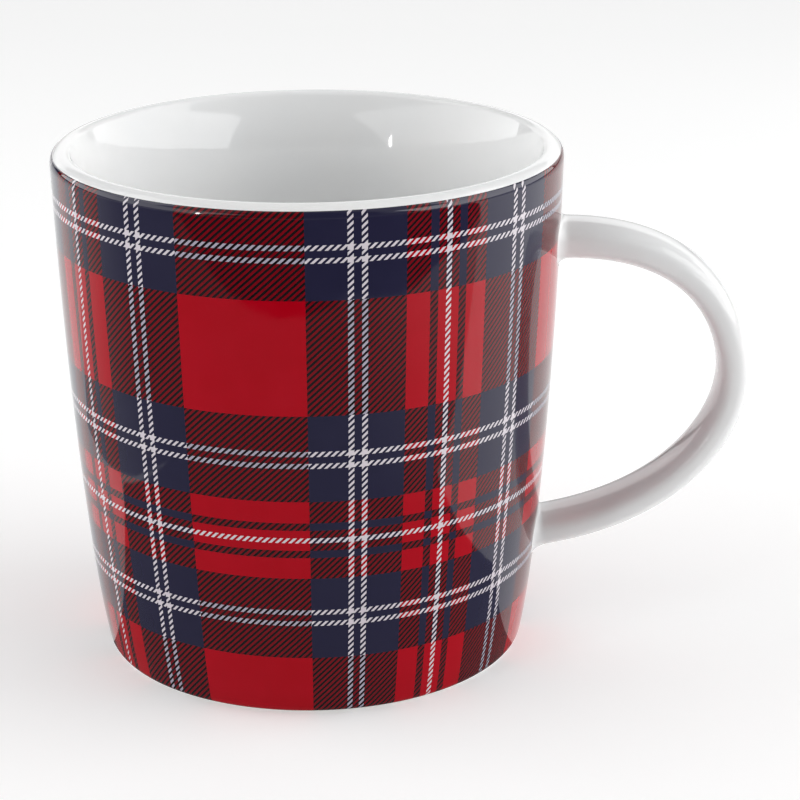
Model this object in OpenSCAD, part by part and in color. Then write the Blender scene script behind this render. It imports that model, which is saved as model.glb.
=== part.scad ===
// Coffee mug: a cast cup on a foot ring, a strap handle stuck on with slip
// at both ends, and a thin printed transfer fired onto the outside wall.
// The origin is on the cup's axis, on the table. The handle points along +X.

/* [Cup] */
// Outer diameter at the lip
rim_d = 90; // [84:1:98]
// Height from the table to the top of the lip
cup_h = 92.5; // [86:0.5:100]
// Outer diameter where the wall meets the rounded heel
heel_d = 76.6; // [72:0.2:80]
// Radius of the rounded heel
heel_r = 1.9; // [1.6:0.1:3]
// Lean of the wall just above the heel, in degrees from upright
heel_lean = 12.2; // [9:0.1:13]
// Lean of the wall just below the lip, in degrees from upright
lip_lean = 1.5; // [1:0.1:3]
// Radius of the lip's outer rounding
lip_out_r = 2.3; // [1.6:0.1:2.8]
// Radius of the lip's inner rounding
lip_in_r = 1.3; // [0.8:0.1:1.6]
// Lean of the inside where it meets the lip's inner rounding, in degrees from upright
flare_lean = 20.5; // [16:0.5:24]
// Radius of the arc in which the inside opens out towards the lip
flare_r = 55; // [45:1:65]
// Lean of the inside below that arc, in degrees from upright
inner_lean = 2.2; // [1.5:0.1:3]
// Thickness of the wall near the floor
wall_t = 5.2; // [4.5:0.1:5.6]
// Thickness of the floor inside the foot ring
floor_t = 5.5; // [4:0.1:6]
// Radius where the inside wall turns into the floor
well_r = 9; // [5:0.5:14]

/* [Foot ring] */
// Width of the unglazed ring that touches the table
foot_w = 2.6; // [1.5:0.1:4]
// Height of the recess inside the ring
foot_h = 1.8; // [1:0.1:2.4]
// Run of the recess's sloping side
foot_slope = 1.6; // [0.8:0.1:3]

/* [Handle] */
// Height of the handle's centre line at its upper cut end
upper_z = 75.3; // [72:0.1:78]
// Rise of the centre line as it leaves the upper joint, in degrees
upper_rise = 0; // [-2:0.1:4]
// Pull of the upper curve along its start
upper_pull = 26.5; // [22:0.5:30]
// Reach of the centre line from the cup's axis
reach = 76.1; // [72:0.1:80]
// Height at which the handle reaches out furthest
reach_z = 50.4; // [46:0.1:54]
// Pull of the upper curve above the furthest point
over_pull = 6.5; // [4:0.5:9]
// Pull of the lower curve below the furthest point
under_pull = 9.5; // [6:0.5:12]
// Pull of the lower curve along its start
lower_pull = 25.5; // [22:0.5:28]
// Rise of the centre line as it leaves the lower joint, in degrees
lower_rise = 10.8; // [7:0.1:14]
// Height of the handle's centre line at its lower cut end
lower_z = 20.5; // [18:0.5:26]
// Thickness of the strap at its upper end
strap_upper_t = 6.6; // [5:0.1:7.5]
// Thickness of the strap at its middle
strap_mid_t = 5.8; // [4.5:0.1:7]
// Thickness of the strap at its lower end
strap_lower_t = 5.6; // [4.5:0.1:7]
// Width of the strap at its ends
strap_end_w = 13; // [11:0.5:14]
// Width of the strap at its middle
strap_mid_w = 12.5; // [10:0.5:13]
// Squareness of the strap's section: 2 is an ellipse, 6 nearly a rectangle
strap_square = 2.6; // [2.4:0.1:5]

/* [Slip joints] */
// Gap between the wall and the handle's cut end, filled by the slip
slip_gap = 1.6; // [1.2:0.1:2.2]
// How far the slip flares out past the strap where it meets the wall
slip_flare = 1.4; // [0.8:0.1:2]
// Thickness of the slip at the flare's edge
slip_edge = 0.1; // [0.05:0.01:0.2]

/* [Transfer] */
// Thickness of the printed transfer
print_t = 0.12; // [0.08:0.01:0.2]
// Distance from the top of the lip down to the print's upper edge
print_top = 0.9; // [0.5:0.1:1.5]
// Height of the print's lower edge above the table
print_bottom = 0.4; // [0.4:0.1:1.2]
// Gap left at the seam under the handle
seam_gap = 0.5; // [0.3:0.1:1.2]

/* [Hidden] */

$fn = 160;
rim_r = rim_d / 2;
heel_wall_r = heel_d / 2;
lip_top_r = rim_r - lip_out_r;
floor_z = foot_h + floor_t;
// Straight steps that each curve of the cup's outline is drawn in.
wall_steps = 18;
flare_wall_steps = 10;
heel_steps = 6;
lip_steps = 6;
well_steps = 8;

// The outside wall's two curve weights, as fractions of its height.
wall_low_pull = 0.12;
wall_top_pull = 0.52;

// Rings along each half of the handle, points round it, and steps of a flare.
ring_steps = 22;
strap_points = 32;
flare_steps = 6;
// Depth that a slip joint is first drawn into the wall, before the wall is cut away.
bury = 0.8;

function bez(p, t) =
    pow(1 - t, 3) * p[0] + 3 * pow(1 - t, 2) * t * p[1]
    + 3 * (1 - t) * t * t * p[2] + pow(t, 3) * p[3];

function bez_run(p, t) =
    3 * pow(1 - t, 2) * (p[1] - p[0]) + 6 * (1 - t) * t * (p[2] - p[1])
    + 3 * t * t * (p[3] - p[2]);

function arc(c, r, a0, a1, n) =
    [for (i = [0 : n]) let (a = a0 + (a1 - a0) * i / n) c + r * [cos(a), sin(a)]];

// A wall curve from [r, z] at the bottom to [r, z] at the top, where it has the lean given.
function wall_curve(low, top, top_lean) =
    let (h = top[1] - low[1])
    [low,
     low + wall_low_pull * h * [sin(heel_lean), cos(heel_lean)],
     top - wall_top_pull * h * [sin(top_lean), cos(top_lean)],
     top];

// Outside wall.
heel_centre = [heel_wall_r - heel_r * cos(heel_lean), heel_r];
outer_low = [heel_wall_r, heel_r * (1 - sin(heel_lean))];
outer_top = [rim_r, cup_h - lip_out_r];
outer_curve = wall_curve(outer_low, outer_top, lip_lean);
outer_wall = [for (i = [0 : wall_steps]) bez(outer_curve, i / wall_steps)];
heel_arc = arc(heel_centre, heel_r, -90, -heel_lean, heel_steps);
wall_table = [for (p = outer_wall) [p[1], p[0]]];
function wall_r(z) = lookup(z, wall_table);

// Lip: a wide rounding outside, a tighter one inside.
lip_centre = [lip_top_r, cup_h - lip_out_r];
lip_in_centre = [lip_top_r, cup_h - lip_in_r];
lip_outer_arc = arc(lip_centre, lip_out_r, 0, 90, lip_steps);
lip_inner_arc = arc(lip_in_centre, lip_in_r, 90, 180 - flare_lean, lip_steps);

// Below the lip the wall thickens along one wide arc, which the drinker's lip meets.
flare_top = lip_in_centre + lip_in_r * [-cos(flare_lean), sin(flare_lean)];
flare_centre = flare_top + flare_r * [cos(flare_lean), -sin(flare_lean)];
flare_arc = arc(flare_centre, flare_r, 180 - flare_lean, 180 - inner_lean, flare_wall_steps);

// Inside wall, running down from that arc, and the well that rounds into the floor.
well_z = floor_z + well_r * (1 - sin(heel_lean));
well_wall_r = wall_r(well_z) - wall_t;
well_centre = [well_wall_r - well_r * cos(heel_lean), floor_z + well_r];
inner_curve = wall_curve([well_wall_r, well_z], flare_arc[flare_wall_steps], inner_lean);
inner_wall = [for (i = [wall_steps : -1 : 0]) bez(inner_curve, i / wall_steps)];
well_arc = arc(well_centre, well_r, -heel_lean, -90, well_steps);

// Foot: a flat ring round a shallow recess.
foot_inner_r = heel_centre[0] - foot_w;
foot_profile = [[0, foot_h], [foot_inner_r - foot_slope, foot_h], [foot_inner_r, 0]];

function open_ends(list) = [for (i = [1 : len(list) - 2]) list[i]];

outside = concat(heel_arc, open_ends(outer_wall));
cup_outline = concat(
    foot_profile, outside, lip_outer_arc, open_ends(lip_inner_arc),
    flare_arc, open_ends(inner_wall), well_arc, [[0, floor_z]]);
solid_outline = concat([[0, 0]], outside, [outer_top, [0, outer_top[1]]]);

// Handle: a centre line in the XZ plane and a superellipse section.
function start_of(z) = [wall_r(z) + slip_gap, z];
upper_start = start_of(upper_z);
lower_start = start_of(lower_z);
far_point = [reach, reach_z];
upper_half = [
    upper_start,
    upper_start + upper_pull * [cos(upper_rise), sin(upper_rise)],
    far_point + [0, over_pull],
    far_point];
lower_half = [
    far_point,
    far_point - [0, under_pull],
    lower_start + lower_pull * [cos(lower_rise), sin(lower_rise)],
    lower_start];

function path_point(s) = s < 1 ? bez(upper_half, s) : bez(lower_half, s - 1);
function path_run(s) = s < 1 ? bez_run(upper_half, s) : bez_run(lower_half, s - 1);
function side_of(run) = [-run[1], run[0]] / norm(run);
function blend(end, mid, s) = mid + (end - mid) * pow(1 - s, 2);
function strap_t(s) = blend(s < 1 ? strap_upper_t : strap_lower_t, strap_mid_t, s);
function strap_w(s) = blend(strap_end_w, strap_mid_w, s);
function signed_power(v, e) = sign(v) * pow(abs(v), e);

// One section: half thickness a lies along n, half width b along Y.
function section(at, n, a, b) =
    [for (i = [0 : strap_points - 1])
        let (q = 360 * i / strap_points,
             u = a * signed_power(cos(q), 2 / strap_square),
             v = b * signed_power(sin(q), 2 / strap_square))
        [at[0] + u * n[0], v, at[1] + u * n[1]]];

handle_rings = [for (i = [0 : 2 * ring_steps])
    let (s = i / ring_steps)
    section(path_point(s), side_of(path_run(s)), strap_t(s) / 2, strap_w(s) / 2)];

// Walls between neighbouring rings, and a flat cap on each end.
module tube(rings) {
    n = len(rings[0]);
    last = len(rings) - 1;
    sides = [for (k = [0 : last - 1], i = [0 : n - 1])
        let (j = (i + 1) % n)
        [k * n + i, k * n + j, (k + 1) * n + j, (k + 1) * n + i]];
    caps = [[for (i = [n - 1 : -1 : 0]) i], [for (i = [0 : n - 1]) last * n + i]];
    polyhedron([for (ring = rings) each ring], concat(sides, caps), convexity = 4);
}

// Slip: from the cut end it flares out in a quarter curve until it nearly meets the wall.
// Position s along the handle is 0 at the upper joint and 2 at the lower one.
function wall_x(p) = sqrt(pow(wall_r(p[2]), 2) - pow(p[1], 2));

function flare_ring(s, k) =
    let (turn = 90 * k / flare_steps,
         grow = slip_flare * (1 - cos(turn)),
         run = path_run(s),
         cut = section(path_point(s), side_of(run), strap_t(s) / 2 + grow, strap_w(s) / 2 + grow))
    [for (p = cut)
        let (back = (p[0] - wall_x(p) - slip_edge) * sin(turn))
        p - back * [1, 0, run[1] / run[0]]];

module slip_solid(s) {
    flare = [for (k = [0 : flare_steps]) flare_ring(s, k)];
    buried = [for (p = flare[flare_steps]) p - [bury, 0, 0]];
    difference() {
        tube(concat(flare, [buried]));
        rotate_extrude() polygon(solid_outline);
    }
}

// The hole that the transfer leaves round a slip joint.
module footprint(s) {
    rotate([90, 0, 90])
        linear_extrude(reach)
            polygon([for (p = flare_ring(s, flare_steps)) [p[1], p[2]]]);
}

module cup_body() {
    color("white") rotate_extrude() polygon(cup_outline);
}

module handle() {
    color("whitesmoke") tube(handle_rings);
}

module upper_slip_joint() {
    color("gainsboro") slip_solid(0);
}

module lower_slip_joint() {
    color("gainsboro") slip_solid(2);
}

// The print lies on the outside between its two edges, open along one seam.
module tartan_transfer() {
    lip_turn = asin((lip_out_r - print_top) / lip_out_r);
    low_turn = -asin((heel_r - print_bottom) / heel_r);
    on_heel = arc(heel_centre, heel_r, low_turn, -heel_lean, heel_steps);
    off_heel = arc(heel_centre, heel_r + print_t, low_turn, -heel_lean, heel_steps);
    on_lip = arc(lip_centre, lip_out_r, 0, lip_turn, lip_steps);
    off_lip = arc(lip_centre, lip_out_r + print_t, 0, lip_turn, lip_steps);
    off_wall = [for (i = [0 : wall_steps])
        let (run = bez_run(outer_curve, i / wall_steps))
        outer_wall[i] + print_t * [run[1], -run[0]] / norm(run)];
    color("firebrick") difference() {
        rotate_extrude() polygon(concat(
            on_heel, open_ends(outer_wall), on_lip,
            [for (i = [lip_steps : -1 : 0]) off_lip[i]],
            [for (i = [wall_steps - 1 : -1 : 1]) off_wall[i]],
            [for (i = [heel_steps : -1 : 0]) off_heel[i]]));
        footprint(0);
        footprint(2);
        translate([0, -seam_gap / 2, -cup_h]) cube([reach, seam_gap, 3 * cup_h]);
    }
}

cup_body();
handle();
upper_slip_joint();
lower_slip_joint();
tartan_transfer();
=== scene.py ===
"""A check-print coffee mug: glazed cup, strap handle, slip joints and a fired transfer, on a pale floor.

The shapes repeat the CAD model's curves in fine meshes. The sizes of the mug and of its check are in
millimetres and turn into metres where a mesh or a pattern is made; everything else is in metres.
"""
import math

import bpy
from mathutils import Matrix, Vector


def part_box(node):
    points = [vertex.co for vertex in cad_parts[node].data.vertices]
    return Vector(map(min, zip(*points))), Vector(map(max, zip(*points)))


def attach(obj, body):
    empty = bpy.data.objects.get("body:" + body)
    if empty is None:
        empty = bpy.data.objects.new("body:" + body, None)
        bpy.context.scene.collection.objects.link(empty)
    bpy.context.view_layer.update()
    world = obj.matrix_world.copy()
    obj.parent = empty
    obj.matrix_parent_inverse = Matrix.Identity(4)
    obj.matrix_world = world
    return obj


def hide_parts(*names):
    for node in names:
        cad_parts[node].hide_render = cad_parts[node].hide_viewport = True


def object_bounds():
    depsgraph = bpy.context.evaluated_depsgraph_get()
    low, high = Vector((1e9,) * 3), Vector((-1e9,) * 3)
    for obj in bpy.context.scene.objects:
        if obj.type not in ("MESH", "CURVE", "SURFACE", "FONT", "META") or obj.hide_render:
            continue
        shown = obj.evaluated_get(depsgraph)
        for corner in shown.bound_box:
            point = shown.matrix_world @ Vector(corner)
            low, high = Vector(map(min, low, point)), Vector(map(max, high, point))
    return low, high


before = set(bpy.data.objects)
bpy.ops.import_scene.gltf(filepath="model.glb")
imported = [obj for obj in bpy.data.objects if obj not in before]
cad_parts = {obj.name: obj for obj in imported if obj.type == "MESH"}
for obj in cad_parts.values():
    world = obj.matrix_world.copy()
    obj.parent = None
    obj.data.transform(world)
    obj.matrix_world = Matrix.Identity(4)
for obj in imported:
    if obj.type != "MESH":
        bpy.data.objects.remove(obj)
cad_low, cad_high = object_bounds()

MM = 0.001

# ---------------------------------------------------------------- sizes, in millimetres
CUP_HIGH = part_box("cup_body")[1]
RIM_R = CUP_HIGH.x / MM
CUP_H = CUP_HIGH.z / MM
HEEL_WALL_R = 38.3
HEEL_R = 1.9
HEEL_LEAN = math.radians(12.2)
LIP_LEAN = math.radians(1.5)
LIP_OUT_R = 2.3
LIP_IN_R = 1.3
FLARE_LEAN = math.radians(20.5)
FLARE_R = 55
INNER_LEAN = math.radians(2.2)
WALL_T = 5.2
FLOOR_Z = 7.3
WELL_R = 9
WALL_LOW_PULL = 0.12
WALL_TOP_PULL = 0.52

FOOT_W = 2.6
FOOT_H = 1.8
FOOT_SLOPE = 1.6
FOOT_EDGE_R = 0.45
GLAZE_T = 0.1

# Where the glaze stops on the heel's arc, as shares of it from the foot ring outward, and how many of
# the arc's rows of faces are bare clay.
BARE_FULL_BY = 0.15
BARE_UNTIL = 0.3
GLAZE_FULL_IN = 0.12
BARE_HEEL_ROWS = 8

UPPER_Z = 75.3
UPPER_RISE = 0
UPPER_PULL = 26.5
REACH = 76.1
REACH_Z = 50.4
OVER_PULL = 6.5
UNDER_PULL = 9.5
LOWER_PULL = 25.5
LOWER_RISE = math.radians(10.8)
LOWER_Z = 20.5
STRAP_UPPER_T = 6.6
STRAP_MID_T = 5.8
STRAP_LOWER_T = 5.6
STRAP_END_W = 13
STRAP_MID_W = 12.5
STRAP_SQUARE = 2.6
SLIP_GAP = 1.6
SLIP_FLARE = 1.4
SLIP_BURY = 0.05
SLIP_ROOT = 0.5

PRINT_T = 0.07
PRINT_BURY = 0.02
PRINT_EDGE = 0.25
PRINT_TOP = 0.9
PRINT_BOTTOM = 0.4
SEAM_GAP = 0.5

# ---------------------------------------------------------------- mesh steps
AROUND = 256
FLAT_STEPS = 12
EDGE_STEPS = 6
RING_STEPS = 5
HEEL_STEPS = 24
WALL_STEPS = 64
LIP_OUT_STEPS = 14
LIP_IN_STEPS = 12
FLARE_STEPS = 24
INNER_STEPS = 40
WELL_STEPS = 20
STRAP_POINTS = 64
STRAP_RINGS = 90
FLARE_RINGS = 14
HALVINGS = 40
PRINT_HEEL_STEPS = 8
PRINT_LOW_STEPS = 12
PRINT_MID_STEPS = 36
PRINT_HIGH_STEPS = 10
PRINT_LIP_STEPS = 12
SEAM_COLUMNS = [0, 0.05, 0.15, 0.3, 0.6, 1.2]
COLUMN_STEP = 1.2
SEAM_BLEND = 30

# The check's sett, from the lone white line's middle outward to the wide red band's middle. The twill's
# offset keeps its phase above zero, and the warp is on top over the first half of each phase.
HALF_REPEAT = 32.6
SETT_R = 41.0
NAVY_THIN = (1.85, 3.25)
NAVY_WIDE = (7.15, 22.6)
LINE_W = 0.92
PAIR_AT = 14.75
PAIR_APART = 2.14
LONE_LINE_Z = 34.1
LONE_LINE_TURN = math.radians(304.1)
TWILL_TURNS = 235
TWILL_RISE = 1.098
TWILL_SHIFT = 0.5
TWILL_OFFSET = 100
WARP_MIDDLE, WARP_HALF = 0.25, 0.25
PAST_REPEAT = 1

# Enamel colours in linear light, each with the paler tone that it wanders to.
RED = (0.400, 0.0004, 0.0080), (0.425, 0.0012, 0.0110)
DULL_RED = (0.180, 0.0030, 0.0080), (0.200, 0.0045, 0.0100)
NAVY = (0.0180, 0.0170, 0.0440), (0.0205, 0.0195, 0.0480)
BLACK = (0.0090, 0.0075, 0.0095), (0.0110, 0.0090, 0.0115)
WHITE = (0.66, 0.61, 0.66), (0.72, 0.67, 0.71)
LAVENDER = (0.42, 0.39, 0.48), (0.46, 0.43, 0.52)
MISSED_DOT = (0.60, 0.50, 0.50)

# Glaze and clay colours: the body's own, then where the glaze has pooled. The handle's and the slips' whites
# are the cup's white glaze painted darker: painted shade on the handle and its slip joints.
CUP_WHITE = (0.95, 0.95, 0.945), (0.92, 0.93, 0.935)
HANDLE_SHADED_WHITE = (0.87, 0.872, 0.872), (0.84, 0.85, 0.855)
SLIP_SHADED_WHITE = (0.87, 0.872, 0.87), (0.84, 0.85, 0.855)
IRON_SPECK = (0.30, 0.22, 0.15)
CLAY_DARK, CLAY_LIGHT, CLAY_RUBBED = (0.70, 0.67, 0.62), (0.80, 0.78, 0.74), (0.52, 0.50, 0.47)


# ---------------------------------------------------------------- outlines, as (radius, height)
def bez(points, t):
    a, b, c, d = points
    return a * (1 - t) ** 3 + b * 3 * t * (1 - t) ** 2 + c * 3 * t * t * (1 - t) + d * t ** 3


def bez_run(points, t):
    a, b, c, d = points
    return (b - a) * 3 * (1 - t) ** 2 + (c - b) * 6 * t * (1 - t) + (d - c) * 3 * t * t


def polar(radius, angle):
    return Vector((radius * math.cos(angle), radius * math.sin(angle)))


def arc(centre, radius, start, end, steps):
    return [centre + polar(radius, start + (end - start) * i / steps) for i in range(steps + 1)]


def wall_curve(low, top, top_lean):
    """A wall from low to top that leans outward by the heel's lean below and top_lean above."""
    height = top.y - low.y
    return [
        low,
        low + Vector((math.sin(HEEL_LEAN), math.cos(HEEL_LEAN))) * (WALL_LOW_PULL * height),
        top - Vector((math.sin(top_lean), math.cos(top_lean))) * (WALL_TOP_PULL * height),
        top,
    ]


HEEL_CENTRE = Vector((HEEL_WALL_R - HEEL_R * math.cos(HEEL_LEAN), HEEL_R))
LIP_CENTRE = Vector((RIM_R - LIP_OUT_R, CUP_H - LIP_OUT_R))
LIP_IN_CENTRE = Vector((RIM_R - LIP_OUT_R, CUP_H - LIP_IN_R))
OUTER_CURVE = wall_curve(
    HEEL_CENTRE + polar(HEEL_R, -HEEL_LEAN), Vector((RIM_R, CUP_H - LIP_OUT_R)), LIP_LEAN
)


def outer_at(z):
    """The outside wall's point and outward normal at height z, for heights between heel and lip."""
    low, high = 0.0, 1.0
    for _ in range(HALVINGS):
        mid = (low + high) / 2
        if bez(OUTER_CURVE, mid).y < z:
            low = mid
        else:
            high = mid
    run = bez_run(OUTER_CURVE, low).normalized()
    return bez(OUTER_CURVE, low), Vector((run.y, -run.x))


def cup_profile():
    """The cup's outline from the underside's middle to the floor's middle, and the bare ring's span."""
    recess_r = HEEL_CENTRE.x - FOOT_W - FOOT_SLOPE
    ring_r = HEEL_CENTRE.x - FOOT_W
    slope = math.atan2(FOOT_H, FOOT_SLOPE)
    edge = FOOT_EDGE_R * math.tan(slope / 2)
    underside = [Vector((recess_r * i / FLAT_STEPS, FOOT_H)) for i in range(1, FLAT_STEPS)]
    underside += arc(
        Vector((recess_r - 2 * edge, FOOT_H - 2 * FOOT_EDGE_R)), 2 * FOOT_EDGE_R,
        math.pi / 2, math.pi / 2 - slope, EDGE_STEPS,
    )
    ring = arc(
        Vector((ring_r + edge, FOOT_EDGE_R)), FOOT_EDGE_R, -math.pi / 2 - slope, -math.pi / 2, EDGE_STEPS
    )
    ring += [Vector((ring_r + edge + (FOOT_W - edge) * i / RING_STEPS, 0)) for i in range(1, RING_STEPS)]
    heel = []
    for i in range(HEEL_STEPS + 1):
        share = i / HEEL_STEPS
        glazed = min(max((share - BARE_UNTIL) / GLAZE_FULL_IN, 0), 1)
        turn = -math.pi / 2 + (math.pi / 2 - HEEL_LEAN) * share
        bare = GLAZE_T * min(share / BARE_FULL_BY, 1) * (1 - glazed * glazed * (3 - 2 * glazed))
        heel.append(HEEL_CENTRE + polar(HEEL_R - bare, turn))
    wall = [bez(OUTER_CURVE, i / WALL_STEPS) for i in range(1, WALL_STEPS)]
    lip = arc(LIP_CENTRE, LIP_OUT_R, 0, math.pi / 2, LIP_OUT_STEPS)
    lip += arc(LIP_IN_CENTRE, LIP_IN_R, math.pi / 2, math.pi - FLARE_LEAN, LIP_IN_STEPS)[1:]
    flare_centre = lip[-1] + Vector((math.cos(FLARE_LEAN), -math.sin(FLARE_LEAN))) * FLARE_R
    flare = arc(flare_centre, FLARE_R, math.pi - FLARE_LEAN, math.pi - INNER_LEAN, FLARE_STEPS)
    well_z = FLOOR_Z + WELL_R * (1 - math.sin(HEEL_LEAN))
    well_top = Vector((outer_at(well_z)[0].x - WALL_T, well_z))
    inner_curve = wall_curve(well_top, flare[-1], INNER_LEAN)
    inner = [bez(inner_curve, 1 - i / INNER_STEPS) for i in range(1, INNER_STEPS)]
    well_centre = well_top - polar(WELL_R, -HEEL_LEAN)
    well = arc(well_centre, WELL_R, -HEEL_LEAN, -math.pi / 2, WELL_STEPS)
    floor = [Vector((well_centre.x * (1 - i / FLAT_STEPS), FLOOR_Z)) for i in range(1, FLAT_STEPS)]
    bare = (len(underside), len(underside) + len(ring) + BARE_HEEL_ROWS)
    return underside + ring + heel + wall + lip + flare[1:] + inner + well + floor, bare


# ---------------------------------------------------------------- meshes
def new_piece(name, points, faces, materials, slot_of_face=None):
    """A smooth mesh object from points in millimetres."""
    mesh = bpy.data.meshes.new(name)
    mesh.from_pydata([Vector(p) * MM for p in points], [], faces)
    for material in materials:
        mesh.materials.append(material)
    mesh.shade_smooth()
    if slot_of_face:
        mesh.polygons.foreach_set("material_index", slot_of_face)
    mesh.validate()
    mesh.update()
    piece = bpy.data.objects.new(name, mesh)
    bpy.context.scene.collection.objects.link(piece)
    return piece


def finish_piece(piece, node):
    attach(piece, "root")
    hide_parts(node)


def make_cup(glaze, clay):
    """The cup's outline turned once round, with bare clay on the foot ring."""
    profile, bare = cup_profile()
    count = len(profile)
    points = [(0, 0, FOOT_H)]
    for i in range(AROUND):
        turn = math.tau * i / AROUND
        points += [(p.x * math.cos(turn), p.x * math.sin(turn), p.y) for p in profile]
    points.append((0, 0, FLOOR_Z))
    top_middle = len(points) - 1
    faces, slots = [], []
    for i in range(AROUND):
        here, there = 1 + i * count, 1 + (i + 1) % AROUND * count
        faces.append((0, there, here))
        slots.append(0)
        for k in range(count - 1):
            faces.append((here + k, there + k, there + k + 1, here + k + 1))
            slots.append(1 if bare[0] <= k < bare[1] else 0)
        faces.append((here + count - 1, there + count - 1, top_middle))
        slots.append(0)
    return new_piece("cup", points, faces, [glaze, clay], slots)


def handle_halves():
    """The centre line's two curves in the XZ plane, from the upper cut end round to the lower one."""
    upper = Vector((outer_at(UPPER_Z)[0].x + SLIP_GAP, UPPER_Z))
    lower = Vector((outer_at(LOWER_Z)[0].x + SLIP_GAP, LOWER_Z))
    far = Vector((REACH, REACH_Z))
    return (
        [upper, upper + polar(UPPER_PULL, UPPER_RISE), far + Vector((0, OVER_PULL)), far],
        [far, far - Vector((0, UNDER_PULL)), lower + polar(LOWER_PULL, LOWER_RISE), lower],
    )


HANDLE_HALVES = handle_halves()


def handle_at(s):
    """The centre line's point and direction, with s from 0 at the upper end to 2 at the lower one."""
    half, t = (HANDLE_HALVES[0], s) if s < 1 else (HANDLE_HALVES[1], s - 1)
    return bez(half, t), bez_run(half, t).normalized()


def strap_size(s):
    """Half the strap's thickness and half its width."""
    ends = (1 - s) ** 2
    end_t = STRAP_UPPER_T if s < 1 else STRAP_LOWER_T
    thick = STRAP_MID_T + (end_t - STRAP_MID_T) * ends
    return thick / 2, (STRAP_MID_W + (STRAP_END_W - STRAP_MID_W) * ends) / 2


def signed_power(value, power):
    return math.copysign(abs(value) ** power, value)


def strap_section(s, grow=0.0):
    """One ring of the strap, a rounded rectangle square to the centre line and grown by grow."""
    at, run = handle_at(s)
    half_t, half_w = strap_size(s)
    ring = []
    for i in range(STRAP_POINTS):
        q = math.tau * i / STRAP_POINTS
        u = (half_t + grow) * signed_power(math.cos(q), 2 / STRAP_SQUARE)
        v = (half_w + grow) * signed_power(math.sin(q), 2 / STRAP_SQUARE)
        ring.append((at.x - u * run.y, v, at.y + u * run.x))
    return ring


def tube(name, rings, material):
    """Closed walls through the rings, with a fan on each end."""
    n = len(rings[0])
    points = [p for ring in rings for p in ring]
    faces = []
    for k in range(len(rings) - 1):
        for i in range(n):
            j = (i + 1) % n
            faces.append((k * n + i, k * n + j, (k + 1) * n + j, (k + 1) * n + i))
    for ring, start, flip in ((rings[0], 0, True), (rings[-1], (len(rings) - 1) * n, False)):
        points.append(tuple(sum(p[axis] for p in ring) / n for axis in range(3)))
        middle = len(points) - 1
        for i in range(n):
            j = (i + 1) % n
            pair = (start + j, start + i) if flip else (start + i, start + j)
            faces.append((*pair, middle))
    piece = new_piece(name, points, faces, [material])
    sharp = piece.data.attributes.new("sharp_edge", "BOOLEAN", "EDGE")
    caps = {len(points) - 1, len(points) - 2}
    rim = {p for f in faces if caps & set(f) for p in f} - caps
    in_rim_ring = [
        e.vertices[0] in rim and e.vertices[1] in rim and e.vertices[0] // n == e.vertices[1] // n
        for e in piece.data.edges
    ]
    sharp.data.foreach_set("value", in_rim_ring)
    return piece


def make_handle(glaze):
    return tube("strap_handle", [strap_section(2 * i / STRAP_RINGS) for i in range(STRAP_RINGS + 1)], glaze)


def wall_x(y, z):
    """How far out the wall lies at a height, off to one side of the handle's plane."""
    return math.sqrt(outer_at(z)[0].x ** 2 - y * y)


def flare_ring(s, share):
    """One ring of the slip, from the strap's cut end at share 0 to the wall at share 1."""
    turn = share * math.pi / 2
    _, run = handle_at(s)
    ring = []
    for x, y, z in strap_section(s, SLIP_FLARE * (1 - math.cos(turn))):
        back = (x - wall_x(y, z) + SLIP_BURY) * math.sin(turn)
        ring.append((x - back, y, z - back * run.y / run.x))
    return ring


def make_slip(name, s, glaze):
    """A slip joint's fillet at the strap's upper end, s 0, or its lower end, s 2, rooted in the wall."""
    rings = [flare_ring(s, k / FLARE_RINGS) for k in range(FLARE_RINGS + 1)]
    rings.append([(x - SLIP_ROOT, y, z) for x, y, z in rings[-1]])
    return tube(name, rings if s else [ring[::-1] for ring in rings], glaze)


def hole_rows(s):
    """Heights, upward, and the angle from the handle's plane to the slip's edge at each."""
    half = flare_ring(s, 1)[: STRAP_POINTS // 2 + 1]
    rows = [(z, math.asin(y / math.hypot(wall_x(y, z), y))) for x, y, z in half]
    return sorted(rows)


def print_rows():
    """Rows of the print from its lower edge up: point, outward normal and the open angle at the handle."""
    seam = SEAM_GAP / 2 / RIM_R
    low_turn = -math.asin((HEEL_R - PRINT_BOTTOM) / HEEL_R)
    lip_turn = math.asin((LIP_OUT_R - PRINT_TOP) / LIP_OUT_R)
    rows = []

    def on_arc(centre, radius, start, end, steps):
        for i in range(steps + 1):
            normal = polar(1, start + (end - start) * i / steps)
            rows.append((centre + normal * radius, normal, seam))

    def on_wall(z0, z1, steps):
        for i in range(steps):
            point, normal = outer_at(z0 + (z1 - z0) * (i + 0.5) / steps)
            rows.append((point, normal, seam))

    def past_hole(hole):
        for z, angle in hole:
            point, normal = outer_at(z)
            rows.append((point, normal, max(angle, seam)))

    lower, upper = hole_rows(2), hole_rows(0)
    on_arc(HEEL_CENTRE, HEEL_R, low_turn, -HEEL_LEAN, PRINT_HEEL_STEPS)
    on_wall(OUTER_CURVE[0].y, lower[0][0], PRINT_LOW_STEPS)
    past_hole(lower)
    on_wall(lower[-1][0], upper[0][0], PRINT_MID_STEPS)
    past_hole(upper)
    on_wall(upper[-1][0], OUTER_CURVE[3].y, PRINT_HIGH_STEPS)
    on_arc(LIP_CENTRE, LIP_OUT_R, 0, lip_turn, PRINT_LIP_STEPS)
    return rows


def edge_rise(distance):
    """The print's height above the wall at a distance from its edge, rounded off like fired enamel."""
    inside = 1 - min(distance / PRINT_EDGE, 1)
    return PRINT_T * math.sqrt(1 - inside * inside)


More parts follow.
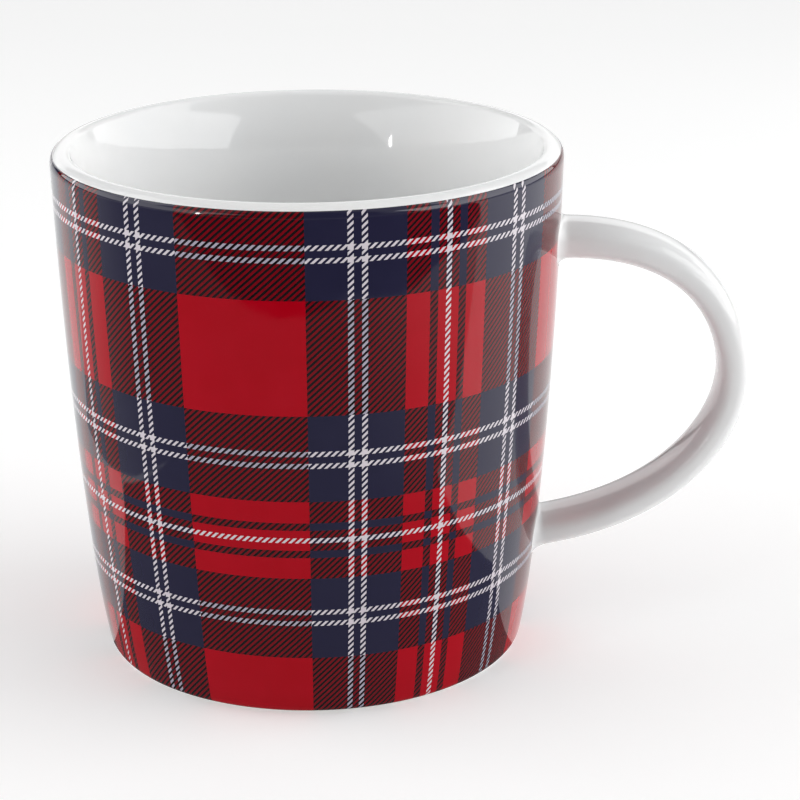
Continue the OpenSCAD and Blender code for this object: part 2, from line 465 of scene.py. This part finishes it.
def make_print(material):
    """One closed thin sheet wrapped round the wall, open at the seam and round both slip joints."""
    rows = print_rows()
    first = SEAM_COLUMNS[-1] + COLUMN_STEP
    between_seams = int((360 - 2 * first) / COLUMN_STEP) + 1
    columns = SEAM_COLUMNS + [first + COLUMN_STEP * i for i in range(between_seams)]
    columns += [360 - column for column in reversed(SEAM_COLUMNS)]
    along = [0.0]
    for low, high in zip(rows, rows[1:]):
        along.append(along[-1] + (high[0] - low[0]).length)
    outer, inner = [], []
    for (point, normal, opening), distance in zip(rows, along):
        from_row_edge = min(distance, along[-1] - distance)
        for column in columns:
            near_side = min(column, 360 - column)
            angle = math.radians(near_side)
            if near_side < SEAM_BLEND:
                angle = opening + (math.radians(SEAM_BLEND) - opening) * near_side / SEAM_BLEND
            from_edge = min(from_row_edge, (angle - opening) * point.x)
            turn = angle if column < 180 else -angle
            for sheet, rise in ((outer, edge_rise(from_edge)), (inner, -PRINT_BURY)):
                at = point + normal * rise
                sheet.append((at.x * math.cos(turn), at.x * math.sin(turn), at.y))
    wide = len(columns)
    shift = len(outer)
    faces = []
    for k in range(len(rows) - 1):
        for i in range(wide - 1):
            a, b = k * wide + i, (k + 1) * wide + i
            faces.append((a, a + 1, b + 1, b))
            faces.append((shift + a, shift + b, shift + b + 1, shift + a + 1))
    last = (len(rows) - 1) * wide
    for i in range(wide - 1):
        faces.append((i, shift + i, shift + i + 1, i + 1))
        faces.append((last + i, last + i + 1, shift + last + i + 1, shift + last + i))
    for k in range(len(rows) - 1):
        a, b = k * wide, (k + 1) * wide
        faces.append((a, b, shift + b, shift + a))
        a, b = a + wide - 1, b + wide - 1
        faces.append((a, shift + a, shift + b, b))
    return new_piece("check_print", outer + inner, faces, [material])


# ---------------------------------------------------------------- materials
# A Mix node has sockets for numbers, vectors and colours: these are the places of the colours' ones.
MIX_FIRST, MIX_SECOND, MIX_RESULT = 6, 7, 2


class Surface:
    """A material with one Principled shader, and short ways to build what feeds it."""

    def __init__(self, name, **uniform):
        self.material = bpy.data.materials.new(name)
        self.material.use_nodes = True
        self.nodes = self.material.node_tree.nodes
        self.links = self.material.node_tree.links
        self.shader = self.nodes["Principled BSDF"]
        for socket, value in uniform.items():
            self.shader.inputs[socket.replace("_", " ")].default_value = value
        coordinates = self.nodes.new("ShaderNodeTexCoord")
        self.place = coordinates.outputs["Object"]

    def put(self, value, socket):
        if isinstance(value, bpy.types.NodeSocket):
            self.links.new(value, socket)
        elif isinstance(value, (tuple, list)):
            socket.default_value = (*value, 1.0)
        else:
            socket.default_value = value

    def math(self, operation, *values):
        node = self.nodes.new("ShaderNodeMath")
        node.operation = operation
        for value, socket in zip(values, node.inputs):
            self.put(value, socket)
        return node.outputs[0]

    def mix(self, factor, first, second):
        node = self.nodes.new("ShaderNodeMix")
        node.data_type = "RGBA"
        self.put(factor, node.inputs["Factor"])
        self.put(first, node.inputs[MIX_FIRST])
        self.put(second, node.inputs[MIX_SECOND])
        return node.outputs[MIX_RESULT]

    def remap(self, value, low, high, to_low, to_high):
        node = self.nodes.new("ShaderNodeMapRange")
        for given, socket in zip((value, low, high, to_low, to_high), node.inputs):
            self.put(given, socket)
        return node.outputs[0]

    def noise(self, size, detail, seed):
        """Smooth noise from 0 to 1 whose lumps are about size metres wide."""
        node = self.nodes.new("ShaderNodeTexNoise")
        node.noise_dimensions = "4D"
        self.links.new(self.place, node.inputs["Vector"])
        node.inputs["W"].default_value = seed
        node.inputs["Scale"].default_value = 1 / size
        node.inputs["Detail"].default_value = detail
        return node.outputs["Fac"]

    def specks(self, apart, radius, share, seed):
        """A mask of round specks: share of the cells, apart metres across, that hold one."""
        node = self.nodes.new("ShaderNodeTexVoronoi")
        node.voronoi_dimensions = "4D"
        self.links.new(self.place, node.inputs["Vector"])
        node.inputs["W"].default_value = seed
        node.inputs["Scale"].default_value = 1 / apart
        split = self.nodes.new("ShaderNodeSeparateColor")
        self.links.new(node.outputs["Color"], split.inputs[0])
        close = self.remap(node.outputs["Distance"], 0.5 * radius / apart, radius / apart, 1.0, 0.0)
        return self.math("MULTIPLY", close, self.math("GREATER_THAN", split.outputs[0], 1 - share))

    def bump(self, height, depth, under=None):
        node = self.nodes.new("ShaderNodeBump")
        node.inputs["Distance"].default_value = depth
        self.links.new(height, node.inputs["Height"])
        if under:
            self.links.new(under, node.inputs["Normal"])
        return node.outputs[0]

    def feed(self, **inputs):
        for socket, value in inputs.items():
            self.put(value, self.shader.inputs[socket.replace("_", " ")])


# Surface detail, in metres: how wide it is, how far apart, how deep, and the share of places that have it.
POOL_SIZE, SHEEN_SIZE, RIPPLE_SIZE, BLOTCH_SIZE = 0.022, 0.006, 0.004, 0.007
GRAIN_SIZE, RUB_SIZE = 0.0005, 0.005
IRON = {"apart": 0.009, "radius": 0.00013, "share": 0.10}
PINHOLE = {"apart": 0.012, "radius": 0.00016, "share": 0.08}
MISSED = {"apart": 0.0065, "radius": 0.00022, "share": 0.10}
RIPPLE_DEPTH, PINHOLE_DEPTH, GRAIN_DEPTH = 0.000012, 0.00006, 0.00006
IRON_STRENGTH, MISSED_STRENGTH, RUB_STRENGTH = 0.5, 0.45, 0.5
GLAZE_ROUGH, PRINT_ROUGH, CLAY_ROUGH = (0.03, 0.06), (0.035, 0.07), (0.75, 0.95)
GLAZE_IOR, CLAY_IOR = 1.5, 1.45

# The part of a noise's range that a change runs over.
NOISE_SPAN, POOL_SPAN, RUB_SPAN = (0.3, 0.7), (0.35, 0.7), (0.5, 0.75)

# The noises' seeds, all different, so that no two patterns match. A glaze's own are counted from its first.
CUP_SEED, HANDLE_SEED, SLIP_SEED = 1.0, 41.0, 61.0
IRON_STEP, PINHOLE_STEP, SHEEN_STEP, RIPPLE_STEP = 3, 5, 7, 9
GRAIN_SEED, RUB_SEED = 11.0, 13.0
RED_SEED, NAVY_SEED, WHITE_SEED = 21.0, 22.0, 23.0
MISSED_SEED, PRINT_SHEEN_SEED, PRINT_RIPPLE_SEED = 31.0, 33.0, 35.0


def glaze_material(name, seed, whites):
    """White gloss glaze: faint pooling, a slightly rippled skin, rare pinholes and iron specks."""
    surface = Surface(name, IOR=GLAZE_IOR)
    pooling = surface.noise(POOL_SIZE, detail=2.0, seed=seed)
    iron = surface.specks(**IRON, seed=seed + IRON_STEP)
    pinhole = surface.specks(**PINHOLE, seed=seed + PINHOLE_STEP)
    colour = surface.mix(surface.remap(pooling, *POOL_SPAN, 0.0, 1.0), *whites)
    colour = surface.mix(surface.math("MULTIPLY", iron, IRON_STRENGTH), colour, IRON_SPECK)
    sheen = surface.noise(SHEEN_SIZE, detail=3.0, seed=seed + SHEEN_STEP)
    rough = surface.remap(sheen, *NOISE_SPAN, *GLAZE_ROUGH)
    ripple = surface.bump(surface.noise(RIPPLE_SIZE, detail=1.0, seed=seed + RIPPLE_STEP), RIPPLE_DEPTH)
    dimple = surface.bump(surface.math("MULTIPLY", pinhole, -1.0), PINHOLE_DEPTH, ripple)
    surface.feed(Base_Color=colour, Roughness=rough, Normal=dimple)
    return surface.material


def clay_material():
    """The foot ring's bare fired clay: matt, fine grained, greyer where it has rubbed."""
    surface = Surface("bare_clay", IOR=CLAY_IOR)
    grain = surface.noise(GRAIN_SIZE, detail=4.0, seed=GRAIN_SEED)
    rubbed = surface.noise(RUB_SIZE, detail=3.0, seed=RUB_SEED)
    colour = surface.mix(surface.remap(grain, *NOISE_SPAN, 0.0, 1.0), CLAY_DARK, CLAY_LIGHT)
    colour = surface.mix(surface.remap(rubbed, *RUB_SPAN, 0.0, RUB_STRENGTH), colour, CLAY_RUBBED)
    rough = surface.remap(grain, *NOISE_SPAN, *CLAY_ROUGH)
    surface.feed(Base_Color=colour, Roughness=rough, Normal=surface.bump(grain, GRAIN_DEPTH))
    return surface.material


def print_material():
    """The check: two setts of thread colours crossed in a twill of slanted stripes, under clear glaze."""
    surface = Surface("check_enamel", IOR=GLAZE_IOR)
    split = surface.nodes.new("ShaderNodeSeparateXYZ")
    surface.links.new(surface.place, split.inputs[0])
    x, y, z = split.outputs
    turn = surface.math("ARCTAN2", surface.math("MULTIPLY", y, -1.0), surface.math("MULTIPLY", x, -1.0))
    turn = surface.math("ADD", turn, math.pi)

    def fade(colour, paler, seed):
        """The enamel lies a little unevenly, so its colour wanders slightly."""
        blotch = surface.remap(surface.noise(BLOTCH_SIZE, detail=3.0, seed=seed), *NOISE_SPAN, 0.0, 1.0)
        return surface.mix(blotch, colour, paler)

    red, dull_red = fade(*RED, RED_SEED), fade(*DULL_RED, RED_SEED)
    navy, black = fade(*NAVY, NAVY_SEED), fade(*BLACK, NAVY_SEED)
    white, lavender = fade(*WHITE, WHITE_SEED), fade(*LAVENDER, WHITE_SEED)

    def between(value, low, high):
        return surface.math("COMPARE", value, (low + high) / 2 * MM, (high - low) / 2 * MM)

    def thread(along, middle):
        """Masks for the thread at a distance along the sett: red, wide red, navy, paired and lone line."""
        from_lone = surface.math("PINGPONG", surface.math("SUBTRACT", along, middle), HALF_REPEAT * MM)
        from_pair = surface.math("ABSOLUTE", surface.math("SUBTRACT", from_lone, PAIR_AT * MM))
        pair = between(from_pair, (PAIR_APART - LINE_W) / 2, (PAIR_APART + LINE_W) / 2)
        lone = between(from_lone, -LINE_W / 2, LINE_W / 2)
        navies = surface.math("ADD", between(from_lone, *NAVY_WIDE), between(from_lone, *NAVY_THIN))
        navy_here = surface.math("SUBTRACT", navies, pair)
        wide_red = between(from_lone, NAVY_WIDE[1], HALF_REPEAT + PAST_REPEAT)
        not_red = surface.math("ADD", surface.math("ADD", navy_here, pair), lone)
        red_here = surface.math("SUBTRACT", 1.0, not_red)
        line = surface.math("ADD", pair, lone)
        return {"red": red_here, "wide": wide_red, "navy": navy_here, "pair": pair, "line": line}

    def thread_colour(own, other):
        """A thread's colour: duller where red and navy cross; a paired line swaps places on the wide red."""
        reds = surface.mix(other["navy"], red, dull_red)
        navies = surface.mix(other["red"], navy, black)
        plain = surface.mix(own["navy"], reds, navies)
        lines = surface.mix(surface.math("MULTIPLY", own["pair"], other["wide"]), white, black)
        crossed = surface.mix(surface.math("MULTIPLY", own["wide"], other["pair"]), plain, lavender)
        return surface.mix(own["line"], crossed, lines)

    warp = thread(surface.math("MULTIPLY", turn, SETT_R * MM), LONE_LINE_TURN * SETT_R * MM)
    weft = thread(z, LONE_LINE_Z * MM)
    slant = surface.math(
        "SUBTRACT",
        surface.math("MULTIPLY", turn, TWILL_TURNS / math.tau),
        surface.math("MULTIPLY", z, 1 / (TWILL_RISE * MM)),
    )
    phase = surface.math("FRACT", surface.math("ADD", slant, TWILL_OFFSET + TWILL_SHIFT))
    warp_on_top = surface.math("COMPARE", phase, WARP_MIDDLE, WARP_HALF)
    colour = surface.mix(warp_on_top, thread_colour(weft, warp), thread_colour(warp, weft))
    missed = surface.specks(**MISSED, seed=MISSED_SEED)
    colour = surface.mix(surface.math("MULTIPLY", missed, MISSED_STRENGTH), colour, MISSED_DOT)
    sheen = surface.noise(SHEEN_SIZE, detail=3.0, seed=PRINT_SHEEN_SEED)
    rough = surface.remap(sheen, *NOISE_SPAN, *PRINT_ROUGH)
    ripple = surface.bump(surface.noise(RIPPLE_SIZE, detail=1.0, seed=PRINT_RIPPLE_SEED), RIPPLE_DEPTH)
    surface.feed(Base_Color=colour, Roughness=rough, Normal=ripple)
    return surface.material


# ---------------------------------------------------------------- the object
cup_glaze = glaze_material("cup_white_glaze", CUP_SEED, CUP_WHITE)
# The handle's white is the cup's glaze painted darker: painted shade on the handle.
handle_shaded_glaze = glaze_material("handle_shaded_white_glaze", HANDLE_SEED, HANDLE_SHADED_WHITE)
# The slips' white is the cup's glaze painted darker too: painted shade on the slip joints.
slip_shaded_glaze = glaze_material("slip_shaded_white_glaze", SLIP_SEED, SLIP_SHADED_WHITE)
finish_piece(make_cup(cup_glaze, clay_material()), "cup_body")
finish_piece(make_handle(handle_shaded_glaze), "handle")
finish_piece(make_slip("upper_slip", 0, slip_shaded_glaze), "upper_slip_joint")
finish_piece(make_slip("lower_slip", 2, slip_shaded_glaze), "lower_slip_joint")
finish_piece(make_print(print_material()), "tartan_transfer")


# ---------------------------------------------------------------- floor, light and camera
# Sizes are in metres. Turn is in degrees to the camera's right, rise in degrees upward from the mug's
# middle, and a glow is how bright a face is.
MUG_MIDDLE = Vector((0, 0, CUP_H * MM / 2))
FLOOR_HALF = 4
FLOOR_COLOUR = (0.88, 0.88, 0.88)
FLOOR_GLOW = 0.22
DARK = (0.0, 0.0, 0.0)
MATT = 0.9

# The table in the photo shows only in the glaze: darker near the mug, ending at an edge in front.
CARD_Z = 0.0005
TABLE_EDGE = [(-0.26, -0.205), (0.08, -0.236), (0.159, -0.186), (0.233, -0.141), (0.306, -0.056)]
TABLE_MIDDLE = (-0.11, -0.07)
TABLE_FRONT = [(0.10, -0.07), TABLE_MIDDLE, *TABLE_EDGE]
TABLE_LEFT = [TABLE_MIDDLE, (-0.12, 0.06), (-0.9, 0.45), (-0.9, -0.5), TABLE_EDGE[0]]
TABLE_UNDER = [(0.07, -0.01), (-0.11, -0.01), TABLE_MIDDLE, (0.10, -0.07)]
BEYOND_TABLE = [*TABLE_EDGE[::-1], (-0.9, -0.5), (-0.9, -1.2), (0.9, -1.2), (0.9, -0.2)]
TABLE_GLOW = 0.15
FRONT_SPAN, FRONT_GLOWS = (0.06, 0.30), (TABLE_GLOW, 0.75)
LEFT_SPAN, LEFT_GLOWS = (-0.07, 0.10), (TABLE_GLOW, 0.6)

# Columns of the two bent panels: turn, lowest rise, highest rise.
PANEL_AWAY = 0.66
PANEL_SPAN = (-0.3, 0.3)
RIGHT_PANEL = [(40, 23, 23.5), (44, 17, 25), (50, 8, 25)]
RIGHT_PANEL += [(turn, 5, 25) for turn in (52, 66, 90, 114, 138)]
RIGHT_GLOWS = (3.4, 2.1)
LEFT_PANEL = [(-22, 24, 24.5), (-33, 17.7, 26), (-43, 9, 26)]
LEFT_PANEL += [(turn, 6, 26) for turn in (-45, -66, -88, -110, -130)]
LEFT_PANEL_GLOWS = (1.6, 2.4)

SOFTBOXES = {
    "right_top_softbox": {"turn": 90, "rise": 38, "away": 1.1, "size": (0.8, 0.6), "glow": 2.0},
    "left_top_softbox": {"turn": -90, "rise": 43, "away": 1.1, "size": (0.8, 0.6), "glow": 1.5},
    "backdrop": {"turn": 180, "rise": 14, "away": 1.3, "size": (2.0, 0.5), "glow": 0.9},
    "small_lamp": {"turn": -43, "rise": 11.5, "away": 0.6, "size": (0.017, 0.08), "glow": 45.0},
}

# The dome is dark below the haze and round the camera's direction, between two cosines from it.
DOME_GLOW, DARK_GLOW = 0.48, 0.02
HORIZON_HAZE = (0.08, 0.2)
FRONT_GAP = (0.0, -0.97, 0.25)
FRONT_GAP_EDGE = (0.75, 0.88)

# The lens and the sensor are in millimetres.
LENS, SENSOR = 111.74, 36
CLIP_START, CLIP_END = 0.01, 20
CAMERA_AT = Vector((0.02637, -0.42633, 0.19322))
CAMERA_AIM = Vector((0.01603, 0.0, 0.04439))
CAMERA_ROLL = math.radians(-0.31)


def plain_material(name, colour, glow=0.0):
    material = bpy.data.materials.new(name)
    material.use_nodes = True
    shader = material.node_tree.nodes["Principled BSDF"]
    shader.inputs["Base Color"].default_value = (*colour, 1.0)
    shader.inputs["Roughness"].default_value = MATT
    shader.inputs["Specular IOR Level"].default_value = 0.0
    shader.inputs["Emission Color"].default_value = (1.0, 1.0, 1.0, 1.0)
    shader.inputs["Emission Strength"].default_value = glow
    return material


def staged_mesh(name, points, faces, material):
    """A mesh that belongs to the studio and not to the mug."""
    mesh = bpy.data.meshes.new(name)
    mesh.from_pydata(points, [], faces)
    mesh.materials.append(material)
    staged = bpy.data.objects.new(name, mesh)
    bpy.context.scene.collection.objects.link(staged)
    return staged


def flat_sheet(name, corners, z, material):
    return staged_mesh(name, [(x, y, z) for x, y in corners], [tuple(range(len(corners)))], material)


def outward(turn, rise):
    """The direction from the mug at a turn and a rise, for a camera that looks along +Y."""
    turn, rise = math.radians(turn), math.radians(rise)
    return Vector((math.sin(turn) * math.cos(rise), -math.cos(turn) * math.cos(rise), math.sin(rise)))


def softbox(name, turn, rise, away, size, glow):
    """A light that faces the mug."""
    data = bpy.data.lights.new(name, "AREA")
    data.shape = "RECTANGLE"
    data.size, data.size_y = size
    data.energy = glow * math.pi * size[0] * size[1]
    out = outward(turn, rise)
    facing = (-out).to_track_quat("-Z", "Y").to_matrix().to_4x4()
    light = bpy.data.objects.new(name, data)
    light.matrix_world = Matrix.Translation(MUG_MIDDLE + out * away) @ facing
    light.visible_camera = False
    bpy.context.scene.collection.objects.link(light)


def ramp_along(material, axis, span, glows):
    """Lets a material's glow change steadily along an axis."""
    tree = material.node_tree
    place = tree.nodes.new("ShaderNodeTexCoord")
    split = tree.nodes.new("ShaderNodeSeparateXYZ")
    ramp = tree.nodes.new("ShaderNodeMapRange")
    tree.links.new(place.outputs["Object"], split.inputs[0])
    tree.links.new(split.outputs[axis], ramp.inputs["Value"])
    for name, number in zip(("From Min", "From Max", "To Min", "To Max"), (*span, *glows)):
        ramp.inputs[name].default_value = number
    tree.links.new(ramp.outputs[0], tree.nodes["Principled BSDF"].inputs["Emission Strength"])


def curved_softbox(name, columns, glows):
    """A panel bent round the mug, whose glow changes from its front to its back."""
    points = []
    for turn, *rises in columns:
        across = outward(turn, 0) * PANEL_AWAY
        for rise in rises:
            points.append(across + MUG_MIDDLE + Vector((0, 0, PANEL_AWAY * math.tan(math.radians(rise)))))
    faces = [(2 * i, 2 * i + 1, 2 * i + 3, 2 * i + 2) for i in range(len(columns) - 1)]
    material = plain_material(name, DARK)
    ramp_along(material, "Y", PANEL_SPAN, glows)
    panel = staged_mesh(name, points, faces, material)
    panel.visible_camera = False
    panel.visible_shadow = False


def table_card(name, corners, glow):
    """A sheet on the floor that only shows in the glaze. Returns its material."""
    material = plain_material(name, DARK, glow)
    card = flat_sheet(name, corners, CARD_Z, material)
    card.visible_camera = False
    card.visible_shadow = False
    card.visible_diffuse = False
    return material


def studio_floor():
    corners = [(-FLOOR_HALF, -FLOOR_HALF), (FLOOR_HALF, -FLOOR_HALF)]
    corners += [(FLOOR_HALF, FLOOR_HALF), (-FLOOR_HALF, FLOOR_HALF)]
    flat_sheet("floor", corners, min(cad_low.z, 0.0), plain_material("pale_floor", FLOOR_COLOUR, FLOOR_GLOW))
    ramp_along(table_card("table_front", TABLE_FRONT, TABLE_GLOW), "X", FRONT_SPAN, FRONT_GLOWS)
    ramp_along(table_card("table_left", TABLE_LEFT, TABLE_GLOW), "Y", LEFT_SPAN, LEFT_GLOWS)
    table_card("table_under", TABLE_UNDER, TABLE_GLOW)
    table_card("beyond_table", BEYOND_TABLE, 0.0)


def studio_lights():
    curved_softbox("right_softbox", RIGHT_PANEL, RIGHT_GLOWS)
    curved_softbox("left_softbox", LEFT_PANEL, LEFT_PANEL_GLOWS)
    for name, values in SOFTBOXES.items():
        softbox(name, **values)


def studio_world():
    """A bright dome that falls dark along the horizon and in front, where the photographer stands."""
    world = bpy.data.worlds.new("studio")
    world.use_nodes = True
    nodes, links = world.node_tree.nodes, world.node_tree.links
    coordinates = nodes.new("ShaderNodeTexCoord")
    split = nodes.new("ShaderNodeSeparateXYZ")
    links.new(coordinates.outputs["Generated"], split.inputs[0])

    def ramp(value, low, high, to_low, to_high):
        node = nodes.new("ShaderNodeMapRange")
        node.interpolation_type = "SMOOTHSTEP"
        links.new(value, node.inputs["Value"])
        for name, number in (("From Min", low), ("From Max", high), ("To Min", to_low), ("To Max", to_high)):
            node.inputs[name].default_value = number
        return node.outputs[0]

    above = ramp(split.outputs["Z"], *HORIZON_HAZE, 0.0, 1.0)
    facing = nodes.new("ShaderNodeVectorMath")
    facing.operation = "DOT_PRODUCT"
    links.new(coordinates.outputs["Generated"], facing.inputs[0])
    facing.inputs[1].default_value = FRONT_GAP
    beside = ramp(facing.outputs["Value"], *FRONT_GAP_EDGE, 1.0, 0.0)
    lit = nodes.new("ShaderNodeMath")
    lit.operation = "MULTIPLY"
    links.new(above, lit.inputs[0])
    links.new(beside, lit.inputs[1])
    strength = ramp(lit.outputs[0], 0.0, 1.0, DARK_GLOW, DOME_GLOW)
    links.new(strength, nodes["Background"].inputs["Strength"])
    nodes["Background"].inputs["Color"].default_value = (1.0, 1.0, 1.0, 1.0)
    bpy.context.scene.world = world


def photo_camera():
    """The camera, fitted to the photo's rim ellipse, outline and check lines."""
    data = bpy.data.cameras.new("camera")
    data.sensor_width = SENSOR
    data.lens = LENS
    data.clip_start, data.clip_end = CLIP_START, CLIP_END
    camera = bpy.data.objects.new("camera", data)
    facing = (CAMERA_AIM - CAMERA_AT).to_track_quat("-Z", "Y").to_matrix().to_4x4()
    camera.matrix_world = Matrix.Translation(CAMERA_AT) @ facing @ Matrix.Rotation(CAMERA_ROLL, 4, "Z")
    bpy.context.scene.collection.objects.link(camera)
    bpy.context.scene.camera = camera


studio_floor()
studio_lights()
studio_world()
photo_camera()
bpy.context.scene.view_settings.view_transform = "Standard"
